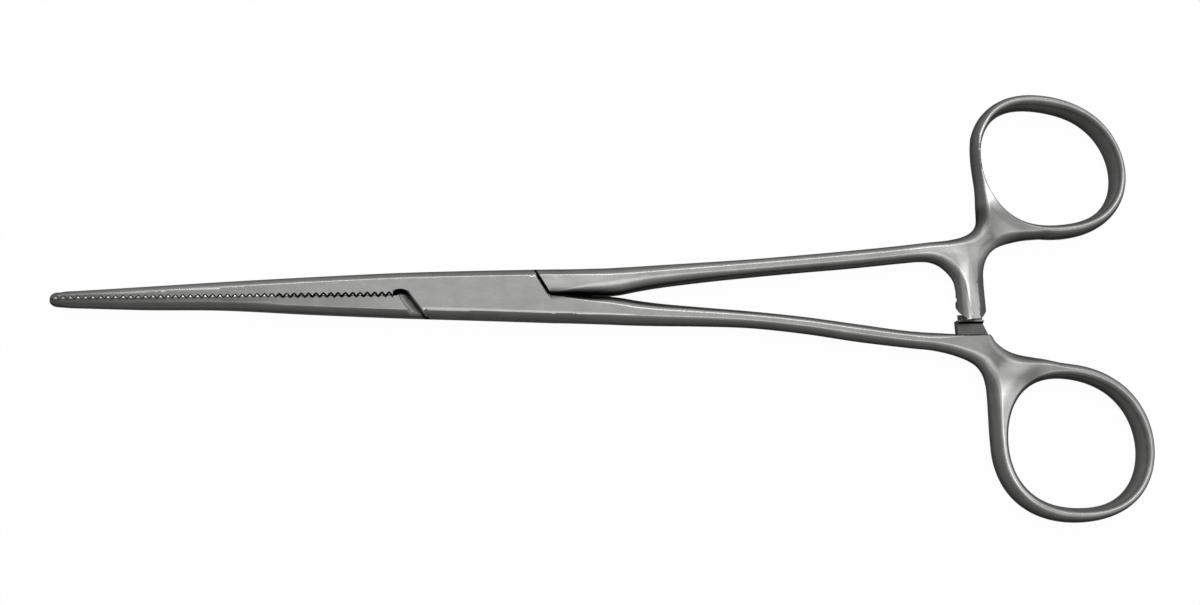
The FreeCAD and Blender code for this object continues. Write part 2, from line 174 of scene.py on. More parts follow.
def loop(runs, shortest=0.01):
    """Closed outline from runs, without the points that two runs share."""
    rows = np.concatenate(runs)
    gap = np.hypot(*(rows - np.roll(rows, 1, axis=0))[:, :2].T)
    return rows[gap > shortest]


def ease(value):
    """Soft step from 0 to 1."""
    value = np.clip(value, 0, 1)
    return value * value * (3 - 2 * value)


def step_on(start, end, points):
    """Foot of each point on each run of the outline: offset to it, and how far along the run it is."""
    along = end[:, :2] - start[:, :2]
    off = points[:, None, :] - start[None, :, :2]
    t = np.clip((off * along).sum(2) / np.maximum((along ** 2).sum(1), 1e-12), 0, 1)
    return off - t[..., None] * along, t


def near_runs(points, loops, reach, size=600):
    """Small groups of points in order along X, each with the runs of the outline within reach of it."""
    start = np.concatenate(loops)
    end = np.concatenate([np.roll(rows, -1, axis=0) for rows in loops])
    low = np.minimum(start[:, 0], end[:, 0]) - reach
    top = np.maximum(start[:, 0], end[:, 0]) + reach
    order = np.argsort(points[:, 0], kind="stable")
    for first in range(0, len(order), size):
        group = order[first:first + size]
        x = points[group, 0]
        close = np.nonzero((low < x[-1]) & (top > x[0]))[0]
        if len(close):
            yield group, close, start[close], end[close]


def height(points, loops, thickness, below=False):
    """Half height of a forging over plan points, and its slope towards X and Y."""
    nudge = 0.01
    high = thickness(points[:, 0], points[:, 1], below)
    lean = np.stack([(thickness(points[:, 0] + nudge, points[:, 1], below) - high) / nudge,
                     (thickness(points[:, 0], points[:, 1] + nudge, below) - high) / nudge], axis=1)
    for group, close, start, end in near_runs(points, loops, WIDEST):
        full = high[group]
        off, t = step_on(start, end, points[group])
        far = np.sqrt((off ** 2).sum(2))
        wide, drop, bend = ((start[:, k] + t * (end[:, k] - start[:, k])) for k in (2, 3, 4))
        if below and start.shape[1] > 5:
            drop = np.where(start[:, 5] > 0, 0.0, drop)
        drop = np.minimum(drop, full[:, None])
        near = np.clip(1 - far / np.maximum(wide, 1e-6), 0, 1)
        cut = drop * (1 - (1 - near ** bend) ** (1 / bend))
        pick = cut.argmax(1)
        rows = np.arange(len(group))
        near, bend, drop, wide = (value[rows, pick] for value in (near, bend, drop, wide))
        round_off = 1 - (1 - near ** bend) ** (1 / bend)
        steep = drop / wide * near ** (bend - 1) * np.maximum(1 - near ** bend, 1e-4) ** (1 / bend - 1)
        away = off[rows, pick] / np.maximum(far[rows, pick], 1e-6)[:, None]
        high[group] = full - cut[rows, pick]
        whole = np.where(drop >= full, round_off, 0)[:, None]
        lean[group] = lean[group] * (1 - whole) + away * steep[:, None]
    return np.maximum(high, 0), lean


def inward(rows):
    """Unit vectors into the metal at each row of a closed outline."""
    way = np.roll(rows, -1, axis=0)[:, :2] - np.roll(rows, 1, axis=0)[:, :2]
    way = way / np.maximum(np.hypot(way[:, 0], way[:, 1]), 1e-9)[:, None]
    return np.stack([-way[:, 1], way[:, 0]], axis=1)


def inside(points, loops, size=1000):
    """Whether plan points lie in the metal."""
    start = np.concatenate(loops)[:, :2]
    end = np.concatenate([np.roll(rows, -1, axis=0) for rows in loops])[:, :2]
    low, top = np.minimum(start[:, 1], end[:, 1]), np.maximum(start[:, 1], end[:, 1])
    found = np.zeros(len(points), bool)
    order = np.argsort(points[:, 1], kind="stable")
    for first in range(0, len(order), size):
        group = order[first:first + size]
        x, y = points[group, 0][:, None], points[group, 1][:, None]
        close = (low <= y[-1]) & (top >= y[0])
        a, b = start[close], end[close]
        crosses = (a[:, 1] > y) != (b[:, 1] > y)
        rise = np.where(b[:, 1] == a[:, 1], 1e-9, b[:, 1] - a[:, 1])
        found[group] = (crosses & (x < a[:, 0] + (y - a[:, 1]) / rise * (b[:, 0] - a[:, 0]))).sum(1) % 2 == 1
    return found


def forging(loops, thickness):
    """Closed mesh of a forging: rows of points along its rounded edges, and a net of points between."""
    levels, few_levels, narrow = 8, (3, 8), 0.3
    own_share, thinnest = 0.93, 0.002
    net_x, net_y, net_shift, spacing, size = 0.55, 0.48, 0.27, 0.3, 300
    edge = np.concatenate(loops)
    normal = np.concatenate([inward(rows) for rows in loops])
    plan = [edge[:, :2]]
    for level in range(1, levels + 1):
        depth = edge[:, 2] * (1 - math.cos(math.pi / 2 * level / levels))
        use = (edge[:, 2] > narrow) | (level in few_levels)
        spot = (edge[:, :2] + normal * depth[:, None])[use]
        depth = depth[use]
        far = np.full(len(spot), np.inf)
        for group, close, start, end in near_runs(spot, loops, WIDEST):
            far[group] = np.sqrt((step_on(start, end, spot[group])[0] ** 2).sum(2).min(1))
        plan.append(spot[far > own_share * depth - thinnest])
    laid = np.concatenate(plan)
    low, top = edge[:, :2].min(0), edge[:, :2].max(0)
    grid_x, grid_y = np.meshgrid(np.arange(low[0], top[0], net_x), np.arange(low[1], top[1], net_y))
    grid_x[1::2] += net_shift
    net = np.stack([grid_x.ravel(), grid_y.ravel()], axis=1)
    net = net[inside(net, loops)]
    net = net[np.argsort(net[:, 0], kind="stable")]
    free = np.ones(len(net), bool)
    for first in range(0, len(net), size):
        part = net[first:first + size]
        close = laid[(laid[:, 0] > part[0, 0] - spacing) & (laid[:, 0] < part[-1, 0] + spacing)]
        near = ((part[:, None, :] - close[None, :, :]) ** 2).sum(2).min(1)
        free[first:first + size] = near > spacing ** 2
    laid = np.concatenate([laid, net[free]])
    sides, base = [], 0
    for rows in loops:
        sides += [(base + k, base + (k + 1) % len(rows)) for k in range(len(rows))]
        base += len(rows)
    spots, _, tris, _, _, _ = delaunay_2d_cdt([Vector(p) for p in laid], sides, [], 0, 1e-6)
    plan = np.array([tuple(p) for p in spots])
    tris = np.array([t for t in tris if len(t) == 3])
    tris = tris[inside(plan[tris].mean(1), loops)]
    up, _ = height(plan, loops, thickness)
    down, _ = height(plan, loops, thickness, True)
    rim = np.zeros(len(plan), bool)
    rim[:base] = True
    joined = rim & (up + down < thinnest)
    under = np.arange(len(plan)) + len(plan)
    under[joined] = np.arange(len(plan))[joined]
    verts = [(x, y, MIDDLE + z) for (x, y), z in zip(plan, up)]
    verts += [(x, y, MIDDLE - z) for (x, y), z in zip(plan, down)]
    faces = [tuple(t) for t in tris] + [(under[c], under[b], under[a]) for a, b, c in tris]
    for a, b in sides:
        wall = [under[a], under[b], b, a]
        wall = [v for k, v in enumerate(wall) if v != wall[k - 1]]
        if len(wall) > 2:
            faces.append(tuple(wall))
    used = sorted({int(v) for f in faces for v in f})
    place = {v: k for k, v in enumerate(used)}
    mesh = bpy.data.meshes.new("forging")
    mesh.from_pydata([verts[v] for v in used], [], [tuple(place[int(v)] for v in f) for f in faces])
    return bpy.data.objects.new("forging", mesh)


def prism(plan, low, high):
    """Block with a plan polygon between two heights."""
    size = len(plan)
    area = sum(plan[k - 1][0] * plan[k][1] - plan[k][0] * plan[k - 1][1] for k in range(size))
    plan = plan if area > 0 else plan[::-1]
    verts = [(x, y, low) for x, y in plan] + [(x, y, high) for x, y in plan]
    faces = [tuple(range(size))[::-1], tuple(range(size, 2 * size))]
    faces += [(k, (k + 1) % size, size + (k + 1) % size, size + k) for k in range(size)]
    mesh = bpy.data.meshes.new("prism")
    mesh.from_pydata(verts, [], faces)
    return bpy.data.objects.new("prism", mesh)


def bar(profile, left, right):
    """Block with a profile polygon, as y and z pairs, between two places along X."""
    block = prism(profile, left, right)
    turned = Matrix(((0, 0, 1, 0), (1, 0, 0, 0), (0, 1, 0, 0), (0, 0, 0, 1)))
    block.data.transform(turned)
    return block


def drum(radius, low, high, sides=96):
    """Round bar on the pin's axis."""
    circle = [(radius * math.cos(2 * math.pi * k / sides), radius * math.sin(2 * math.pi * k / sides))
              for k in range(sides)]
    return prism(circle, low, high)


def worked(body, block, way):
    """Body after a block has been cut from it or joined to it."""
    for thing in (body, block):
        if thing.name not in scene.collection.objects:
            scene.collection.objects.link(thing)
    step = body.modifiers.new("step", "BOOLEAN")
    step.operation = way
    step.solver = "EXACT"
    step.object = block
    made = bpy.data.meshes.new_from_object(body.evaluated_get(bpy.context.evaluated_depsgraph_get()))
    body.modifiers.clear()
    body.data = made
    bpy.data.objects.remove(block)
    return body


def finished(body, name, loops, thickness):
    """Forging in metres, with the true slope of its surface at each corner of each face."""
    like_slope, like_wall, level, wall_reach = 0.86, 0.93, 0.02, 0.5
    mesh = body.data
    walls = np.concatenate([inward(rows) for rows in loops])
    ends = np.concatenate([np.roll(inward(rows), -1, axis=0) for rows in loops])
    spots = np.zeros(len(mesh.vertices) * 3)
    mesh.vertices.foreach_get("co", spots)
    spots = spots.reshape(-1, 3)
    _, up = height(spots[:, :2], loops, thickness)
    _, down = height(spots[:, :2], loops, thickness, True)
    side = np.zeros((len(spots), 2))
    for group, close, start, end in near_runs(spots[:, :2], loops, wall_reach):
        off, t = step_on(start, end, spots[group, :2])
        pick = (off ** 2).sum(2).argmin(1)
        t = t[np.arange(len(pick)), pick][:, None]
        side[group] = -(walls[close[pick]] * (1 - t) + ends[close[pick]] * t)
    corners = np.zeros(len(mesh.loops), int)
    mesh.loops.foreach_get("vertex_index", corners)
    flat = np.zeros((len(mesh.loops), 3))
    for face in mesh.polygons:
        flat[list(face.loop_indices)] = face.normal
    truth = flat.copy()
    for slope, sign in ((up, 1), (down, -1)):
        lean = np.stack([-slope[corners, 0], -slope[corners, 1], np.full(len(corners), sign)], axis=1)
        lean /= np.linalg.norm(lean, axis=1)[:, None]
        fits = ((lean * flat).sum(1) > like_slope) & (flat[:, 2] * sign > level)
        truth[fits] = lean[fits]
    lean = np.stack([side[corners, 0], side[corners, 1], np.zeros(len(corners))], axis=1)
    lean /= np.maximum(np.linalg.norm(lean, axis=1), 1e-9)[:, None]
    fits = ((lean * flat).sum(1) > like_wall) & (np.abs(flat[:, 2]) < level)
    truth[fits] = lean[fits]
    mesh.transform(Matrix.Scale(MM, 4))
    mesh.polygons.foreach_set("use_smooth", [True] * len(mesh.polygons))
    mesh.normals_split_custom_set([tuple(n) for n in truth])
    mesh.name = name
    body.name = name
    return body


def shifted(start, end, by):
    """Line through two points, moved to its left."""
    run = math.hypot(end[0] - start[0], end[1] - start[1])
    nx, ny = -(end[1] - start[1]) / run, (end[0] - start[0]) / run
    return (start[0] + nx * by, start[1] + ny * by), (end[0] + nx * by, end[1] + ny * by)


def reach_y(start, end, y):
    """Point at a height y on the line through two points."""
    share = (y - start[1]) / (end[1] - start[1])
    return (start[0] + share * (end[0] - start[0]), y)


def edged(points, edge):
    """Plan rows of points that share the width, drop and bend of one edge."""
    return [(x, y) + edge for x, y in points]


def serration(side):
    """Zigzag of one jaw along the closing line, from the tip to the last tooth."""
    pitch, depth, start, length, flanks = 1.3, 0.5, -75.2, 59.8, 92
    tip_gap, widening = 0.07, 0.25
    points = []
    for k in range(flanks + 1):
        run = k * pitch / 2
        gap = tip_gap + widening * run / length
        points.append((start + run, side * gap / 2 + (depth / 2 if k % 2 else -depth / 2)))
    return points


JAW_X = (-77.6, -70.0, -60.1, -47.2, -29.7, -14.5, 0.0)
JAW_TAPER = (0.52, 0.56, 0.64, 0.75, 0.88, 0.97, 1.0)
UPPER_JAW = {"half": 4.55, "end": 4.72, "chin": 1.24,
             "share": (0.24, 0.32, 0.44, 0.60, 0.79, 0.93, 1.0),
             "width": (0.85, 1.0, 1.2, 1.35, 1.4, 1.45, 1.5),
             "bend": (1.9, 1.85, 1.75, 1.6, 1.45, 1.35, 1.3)}
LOWER_JAW = {"half": 4.50, "end": 5.08, "chin": 1.36,
             "share": (0.30, 0.36, 0.44, 0.48, 0.70, 0.87, 1.0),
             "width": (1.0, 1.15, 1.35, 1.35, 1.25, 1.2, 1.2),
             "bend": (1.9, 1.85, 1.75, 1.6, 1.5, 1.4, 1.35)}


def jaw_edge(side):
    """Outer edge of a jaw and of the box, from the tip to the box's end, rounder towards the tip."""
    form = UPPER_JAW if side > 0 else LOWER_JAW
    rows = [(x, side * form["half"] * share, wide, BEVEL_DROP * taper, bend) for x, share, wide, taper, bend
            in zip(JAW_X, form["share"], form["width"], JAW_TAPER, form["bend"])]
    rows.append((BOX_END, side * form["end"], form["width"][-1], BEVEL_DROP, form["bend"][-1]))
    tip_end = -74.4
    run = smooth(rows, 0.5)
    run = run[run[:, 0] > tip_end]
    tip = [(-76.1, side * 0.04), (-76.05, side * 0.38), (-75.86, side * 0.78), (-75.5, side * 1.1),
           (-75.0, side * form["chin"])]
    tip = edged(tip, (0.8, 0.9, 1.9)) + [tuple(run[0])]
    return np.concatenate([smooth(tip, 0.2)[:-1], run])


def jaw_thickness(x, y):
    """Half thickness of the jaws and the box, with the round nose at the tip."""
    radius, centre, flare = 1.4, -74.7, 0.35
    full = MIDDLE * np.interp(x, JAW_X, JAW_TAPER)
    bow = np.sqrt(np.maximum(radius ** 2 - np.minimum(x - centre, 0) ** 2, 0))
    nose = bow + np.maximum(x - centre, 0) * flare
    return np.minimum(full, np.sqrt(np.maximum(nose ** 2 - y ** 2, 0)))


def shank_half(run):
    """Half thickness of a shank, with a run of 0 at the box and 1 at the web."""
    thin, extra = 4.1, 1.3
    return (thin + extra * (1 - run) ** 2) / 2


def shank_rows(stations, side, inner_bend):
    """Plan rows of a shank's inner and outer edge from its x, inner and outer y, and bevel share."""
    outer_share, deep_share, bevel_width, round_from = 0.42, 0.86, 1.2, 0.33
    box_width = 1.5 if side > 0 else 1.2
    inner_round, outer_bend, outer_extra = 1.9, 1.25, 0.6
    inner, outer = [], []
    for x, near, far, share in stations:
        run = (x - BOX_END) / SHANK_RUN
        turn = min(1, run / round_from)
        deep = BEVEL_DROP + (shank_half(run) - BEVEL_DROP) * deep_share * turn
        wide = share * (far - near)
        outer_wide = box_width + (outer_share * (far - near) - box_width) * turn
        bend = inner_bend + (inner_round - inner_bend) * turn
        inner.append((x, side * near, wide, min(wide / bevel_width * BEVEL_DROP, deep), bend))
        outer.append((x, side * far, outer_wide, deep, outer_bend + outer_extra * turn))
    return inner, outer


def rear_thickness(x, y, centre, middle_line, arm, below):
    """Half thickness of shank, web and ring, which flow into each other."""
    web_half, web_x, web_blend = 1.95, 80, 14
    arm_half, arm_x, arm_blend, arm_y, arm_rise = 2.3, 86.0, 5, 11.0, 8.0
    ring_inner, ring_blend = 0.7, 5.5
    base = shank_half(np.clip((x - BOX_END) / SHANK_RUN, 0, 1))
    base = base + (web_half - base) * ease((x - web_x) / web_blend)
    if arm and not below:
        base = base + (arm_half - base) * ease((arm_y - y) / arm_rise) * ease((x - arm_x) / arm_blend)
    out = np.hypot(x - centre[0], y - centre[1])
    angle = np.arctan2(y - centre[1], x - centre[0])
    return base + (RING_HALF - base) * (1 - ease((out - middle_line(angle) - ring_inner) / ring_blend))


def wave(u, mean, *terms):
    """Value round a ring: its mean, then each term's number of swells, cosine part and sine part."""
    value = mean
    for swells, even, odd in terms:
        value = value + even * np.cos(swells * u) + odd * np.sin(swells * u)
    return value


def lower_line(u):
    """Radius of the lower ring's middle line."""
    return wave(u, 13.949, (2, 0.359, -0.084), (3, 0.146, -0.134), (4, -0.189, 0.059))


def lower_band(u):
    """Width of the lower ring's band."""
    return wave(u, 2.612, (1, -0.185, 0.097), (2, -0.141, 0.218))


def ring_rows(centre, line, band, first, last, side):
    """Plan rows along the outer or inner edge of a ring, between two angles in degrees."""
    count = int(abs(last - first) / 1.5)
    u = np.radians(np.linspace(first, last, count + 1))
    r = line(u) + side * band(u) / 2
    drop, bend = np.full(len(u), WHOLE), np.full(len(u), ROUND)
    return np.stack([centre[0] + r * np.cos(u), centre[1] + r * np.sin(u), band(u) / 2, drop, bend], axis=1)


def ring_joint(row):
    """Plan row where an edge flows into a ring."""
    return tuple(row[:3]) + (RING_HALF, ROUND)


CROTCH, CHEEK_FOOT = (-12.86, 0.38), (-9.29, -4.42)
RIGHT_CROTCH, CHEEK_HEAD = (12.79, -0.36), (10.12, 4.19)
SLOT_CORNER, RIGHT_SLOT_CORNER = (-7.4, 4.4), (7.4, -4.4)
SLOT_FLOOR, SLOT_TOP = 1.5, 3.9
ARM_LEFT = 90.6
FAR = 14.0
THROUGH = (-1, 7)
LOWER_CENTRE = (110.12, -29.08)
LOWER_SHANK = (
    (13.5, 0.36, 5.08, 0.05), (16.8, 0.36, 5.20, 0.17), (20.5, 0.39, 5.38, 0.28), (23.8, 0.44, 5.54, 0.34),
    (26.2, 0.70, 5.68, 0.38), (28.8, 1.16, 5.81, 0.41), (32.1, 1.64, 5.93, 0.42), (40.0, 2.46, 6.12, 0.42),
    (50.2, 3.45, 6.55, 0.42), (60.5, 4.60, 7.74, 0.42), (70.7, 6.08, 9.40, 0.42), (80.9, 7.55, 10.75, 0.42))
JAW_STEP, RUN_STEP, WEB_STEP = 0.6, 0.5, 0.4
SEAM, CORNER_GAP = 0.02, 0.1


def box_thickness(x, y, below):
    """Half thickness of the box half."""
    rear = rear_thickness(x, y, LOWER_CENTRE, lower_line, False, below)
    return np.where(x < BOX_END, jaw_thickness(x, y), rear)


tip = (-76.1, 0.035)
teeth = serration(1)
notch_edge = [(-15.3, 0.55), (-14.9, 0.74), (-14.3, 0.85), (-13.6, 0.80), (-13.1, 0.60), CROTCH]
foot_y, head_y, stub_y, stub_end = -4.12, 4.672, -8.5, 96.3
cheek_foot = reach_y(CROTCH, CHEEK_FOOT, foot_y)
cheek_head = reach_y(RIGHT_CROTCH, CHEEK_HEAD, head_y)
lower_edge = jaw_edge(-1)
lower_edge = lower_edge[lower_edge[:, 0] > cheek_foot[0] + CORNER_GAP]
upper_edge = jaw_edge(1)
upper_edge = upper_edge[upper_edge[:, 0] < cheek_head[0] - CORNER_GAP]
inner, outer = shank_rows(LOWER_SHANK, -1, 1.3)
inner += [(84.0, -7.85, 1.4, 1.7, 1.9), (86.5, -8.05, 1.2, 1.4, 1.9), (88.8, -8.3, 0.8, 0.9, 1.8),
          (ARM_LEFT, stub_y, 0.4, 0.5, 1.6)]
ring_outer = ring_rows(LOWER_CENTRE, lower_line, lower_band, -178, 84, 1)
outer += [(86.0, -11.35, 1.45, 1.7, 1.9), (90.0, -12.45, 1.7, 1.6, 2.0), (92.0, -13.3, 1.9, 1.5, 2.0),
          (93.5, -14.4, 2.4, 1.5, 2.0), (94.4, -15.9, 2.4, 1.6, 2.0), (94.85, -17.8, 2.1, 1.8, 2.0),
          (94.98, -20.5, 1.7, 2.1, 2.0), (94.92, -24.0, 1.45, 2.4, 2.0), (94.82, -27.0, 1.33, 2.6, 2.0),
          ring_joint(ring_outer[0])]
web = [ring_joint(ring_outer[-1]), (109.1, -13.86, 1.43, 2.5, 2.0), (106.4, -13.25, 1.5, 2.3, 2.0),
       (103.8, -12.8, 1.7, 2.0, 2.0), (101.5, -12.35, 2.1, 1.7, 2.0), (99.6, -11.7, 2.4, 1.5, 2.0),
       (98.0, -10.7, 2.4, 1.4, 2.0), (96.9, -9.6, 1.9, 1.3, 2.0),
       (stub_end, stub_y, 1.3, 1.1, 2.0)]
stub_top = edged([(stub_end, stub_y), (ARM_LEFT, stub_y)], (0.3, 0.5, 1.5))
box_outline = loop([
    straight(edged([tip] + teeth + notch_edge, SHARP), JAW_STEP)[:-1],
    straight(edged([CROTCH, cheek_foot], BROKEN), JAW_STEP),
    [(cheek_foot[0] + SEAM, cheek_foot[1]) + tuple(lower_edge[0][2:])],
    lower_edge[:-1],
    smooth(outer, RUN_STEP)[:-1],
    ring_outer[:-1],
    smooth(web, WEB_STEP),
    straight(stub_top, RUN_STEP),
    smooth(inner[::-1], RUN_STEP),
    straight(edged([RIGHT_CROTCH, cheek_head], BROKEN), RUN_STEP),
    [(cheek_head[0] - SEAM, cheek_head[1]) + tuple(upper_edge[-1][2:])],
    upper_edge[::-1]])
box_loops = [box_outline, ring_rows(LOWER_CENTRE, lower_line, lower_band, 360, 1.5, -1)]
box_half = forging(box_loops, box_thickness)

slot = prism([CROTCH, reach_y(CROTCH, SLOT_CORNER, FAR), (RIGHT_CROTCH[0], FAR), RIGHT_CROTCH,
              reach_y(RIGHT_CROTCH, RIGHT_SLOT_CORNER, -FAR), (CROTCH[0], -FAR)], SLOT_FLOOR, SLOT_TOP)
box_half = worked(box_half, slot, "DIFFERENCE")
cheek_bore = 1.998
box_half = worked(box_half, drum(cheek_bore, *THROUGH), "DIFFERENCE")
stub_right, ridge_y, lean = 95.5, -5.6, 0.42
root_y, back_z, floor_z = -9.6, 0.6, 1.9
stub = bar([(root_y, back_z), (root_y, floor_z), (-6.05, floor_z), (-5.74, 2.85), (-5.42, 2.85),
            (-5.42, back_z)], ARM_LEFT, stub_right)
for point in stub.data.vertices:
    if point.co.x > ARM_LEFT + 1:
        point.co.x += (ridge_y - point.co.y) * lean
ramp_left, ramp_right = 91.3, 95.2
ramp = bar([(-5.8, 0.7), (-5.8, 1.8), (-5.5, 2.75), (-5.42, 2.75), (-4.1, 0.7)], ramp_left, ramp_right)
box_half = worked(box_half, stub, "UNION")
box_half = worked(box_half, ramp, "UNION")
box_half = finished(box_half, "box_forging", box_loops, box_thickness)


def satin_steel_painted_light(name, along, spots):
    """Satin steel with lines along the instrument, with painted shade on its flanks and a painted highlight
    just off its flat tops, painted light on faces turned one way, painted shade towards the tip, and spots
    of painted shade and painted highlight, each with a gain.
    """
    steel = bpy.data.materials.new(name)
    steel.use_nodes = True
    nodes, links = steel.node_tree.nodes, steel.node_tree.links
    shader = nodes["Principled BSDF"]
    shader.inputs["Metallic"].default_value = 1.0
    shader.inputs["Specular Tint"].default_value = (0.35, 0.35, 0.35, 1)
    where = nodes.new("ShaderNodeTexCoord")
    place = nodes.new("ShaderNodeSeparateXYZ")
    links.new(where.outputs["Object"], place.inputs[0])
    facing = nodes.new("ShaderNodeSeparateXYZ")
    links.new(where.outputs["Normal"], facing.inputs[0])

    def math_node(way, first, second=None):
        node = nodes.new("ShaderNodeMath")
        node.operation = way
        for socket, value in zip(node.inputs, (first, second)):
            if isinstance(value, float):
                socket.default_value = value
            elif value is not None:
                links.new(value, socket)
        return node.outputs[0]

    def ranged(value, low, high, start=0.0, end=1.0):
        node = nodes.new("ShaderNodeMapRange")
        for key, number in (("From Min", low), ("From Max", high), ("To Min", start), ("To Max", end)):
            node.inputs[key].default_value = number
        links.new(value, node.inputs["Value"])
        return node.outputs[0]

    def tones(value, stops):
        blue_share = 0.975
        node = nodes.new("ShaderNodeValToRGB")
        ramp = node.color_ramp
        ramp.interpolation = "EASE"
        while len(ramp.elements) < len(stops):
            ramp.elements.new(0.5)
        for element, (at, grey) in zip(ramp.elements, stops):
            element.position = at
            element.color = (grey, grey, grey * blue_share, 1)
        links.new(value, node.inputs[0])
        return node.outputs[0]

    def noise(scale, detail):
        stretch = nodes.new("ShaderNodeMapping")
        stretch.inputs["Scale"].default_value = scale
        links.new(where.outputs["Object"], stretch.inputs["Vector"])
        node = nodes.new("ShaderNodeTexNoise")
        node.inputs["Scale"].default_value = 1.0
        node.inputs["Detail"].default_value = detail
        links.new(stretch.outputs[0], node.inputs["Vector"])
        return node.outputs["Fac"]

    tip_x, box_x = -0.077, -0.010
    pale, dense = 0.3, 0.7
    # Spots of deep painted shade, with a gain below the first number, are made rougher as well.
    deep_shade, deep_shade_edge, deep_shade_rough = 0.2, 0.2, 0.6
    # Colour by slope: painted shade on the flanks, a painted highlight on faces tilted just off flat, and
    # the flat tops in between.
    upright = math_node("ABSOLUTE", facing.outputs["Z"])
    turned = tones(upright, ((0.0, 0.060), (0.5, 0.076), (0.78, 0.104), (0.92, 0.165), (0.970, 0.230),
                             (0.990, 0.212), (0.999, 0.136)))
    lines = noise((900, 5200, 3000), 5.0)
    cloud = noise((300, 420, 420), 4.0)
    level = math_node("MULTIPLY", ranged(lines, pale, dense, 0.95, 1.05),
                      ranged(cloud, pale, dense, 0.92, 1.08))
    # Painted light: faces turned towards +Y are painted lighter, faces turned towards -Y darker.
    level = math_node("MULTIPLY", level, ranged(facing.outputs["Y"], -0.9, 0.9, 0.75, 2.0))
    # Painted shade on the upward faces towards the tip, following the ramp along X.
    tip_shade = math_node("SUBTRACT", tones(ranged(place.outputs["X"], tip_x, box_x), along), 1.0)
    tip_shade = math_node("MULTIPLY", tip_shade, ranged(upright, 0.6, 0.95))
    level = math_node("MULTIPLY", level, math_node("ADD", tip_shade, 1.0))
    rough = ranged(lines, pale, dense, 0.31, 0.36)
    # Each spot multiplies the colour by its gain: below 1 it paints shade, above 1 it paints a highlight.
    for gain, spot in spots:
        clear = None
        for source, low, high in spot:
            middle = 0.0
            if isinstance(source, tuple):
                source, middle = source
            if source == "upright":
                value = ranged(upright, low, high)
            elif source == "line":
                value = math_node("ADD", math_node("MULTIPLY", place.outputs["X"], middle[0]), middle[2])
                value = math_node("ADD", value, math_node("MULTIPLY", place.outputs["Y"], middle[1]))
                value = ranged(math_node("ABSOLUTE", value), low, high)
            else:
                value = math_node("ABSOLUTE", math_node("SUBTRACT", place.outputs[source], middle))
                value = ranged(value, low, high)
            clear = value if clear is None else math_node("MAXIMUM", clear, value)
        level = math_node("MULTIPLY", level, ranged(clear, 0.0, 1.0, gain, 1.0))
        if gain < deep_shade:
            rough = math_node("ADD", rough, ranged(clear, 0.0, deep_shade_edge, deep_shade_rough, 0.0))
    colour = nodes.new("ShaderNodeVectorMath")
    colour.operation = "SCALE"
    links.new(turned, colour.inputs[0])
    links.new(level, colour.inputs["Scale"])
    links.new(colour.outputs[0], shader.inputs["Base Color"])
    links.new(rough, shader.inputs["Roughness"])
    bump = nodes.new("ShaderNodeBump")
    bump.inputs["Strength"].default_value = 0.05
    bump.inputs["Distance"].default_value = 0.00001
    links.new(lines, bump.inputs["Height"])
    links.new(bump.outputs[0], shader.inputs["Normal"])
    return steel


def coated(piece, steel):
    """Piece with one finish all over."""
    piece.data.materials.clear()
    piece.data.materials.append(steel)


# Spots of painted shade, with a gain below 1, and of painted highlight, with a gain above 1, in metres: a
# gain, then bounds that are full up to one size, gone at the next.
# Painted shade on the tooth walls in the gap between the jaws.
tooth_gap_shade = (0.22, (("upright", 0.3, 0.6), ("Y", 0.0009, 0.0012), (("X", -0.046), 0.0333, 0.0340)))
# Painted shade on the walls of the notch at the end of the teeth.
notch = (0.05, ((("X", -0.0139), 0.0015, 0.0019), (("Y", 0.0005), 0.0009, 0.0012), ("upright", 0.3, 0.9)))
# Painted shade in the crotch between the shanks beside the box.
crotch_shade = (0.08, ((("X", 0.0200), 0.0070, 0.0071), ("X", 0.0200, 0.0262), (("Y", -0.0002), 0.0003, 0.0012)))
# Painted highlight along the lower edge of the face of the box and lower shank.
face_highlight_line = (1.5, ((("line", (0.0425, 1.0, 0.0031)), 0.00012, 0.0003), ("upright", 0.95, 0.85),
                   (("X", 0.0090), 0.0180, 0.0200)))
# Painted shade on the low floor of the ratchet stub.
stub_floor_shade = (0.42, ((("X", 0.0935), 0.0050, 0.0056), (("Y", -0.0060), 0.0025, 0.0027),
                     ("Z", 0.0022, 0.0028)))
# Painted highlight on the left wall of the ratchet stub.
stub_wall_highlight = (2.0, ((("X", 0.0910), 0.0006, 0.0007), (("Y", -0.0065), 0.0026, 0.0028), ("upright", 0.5, 0.8)))
# Painted shade on the web where the lower shank meets its ring.
lower_web_shade = (0.62, ((("X", 0.1000), 0.0035, 0.0065), (("Y", -0.0150), 0.0020, 0.0050)))
# Painted highlight on the crest of the lower ring's left limb.
lower_limb_highlight = (1.8, (("upright", 0.985, 0.94), (("X", 0.0965), 0.0030, 0.0050),
                    (("Y", -0.0285), 0.0085, 0.0120)))
# The first ramp paints shade on the upper jaw's upward faces towards its tip.
coated(box_half, satin_steel_painted_light(
    "box_steel_painted_light", ((0.0, 0.35), (0.25, 0.6), (0.45, 0.8), (0.7, 0.95), (1.0, 1.0)),
    (tooth_gap_shade, notch, crotch_shade, face_highlight_line, stub_floor_shade, stub_wall_highlight, lower_web_shade, lower_limb_highlight)))
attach(box_half, "box")
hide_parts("box_half")

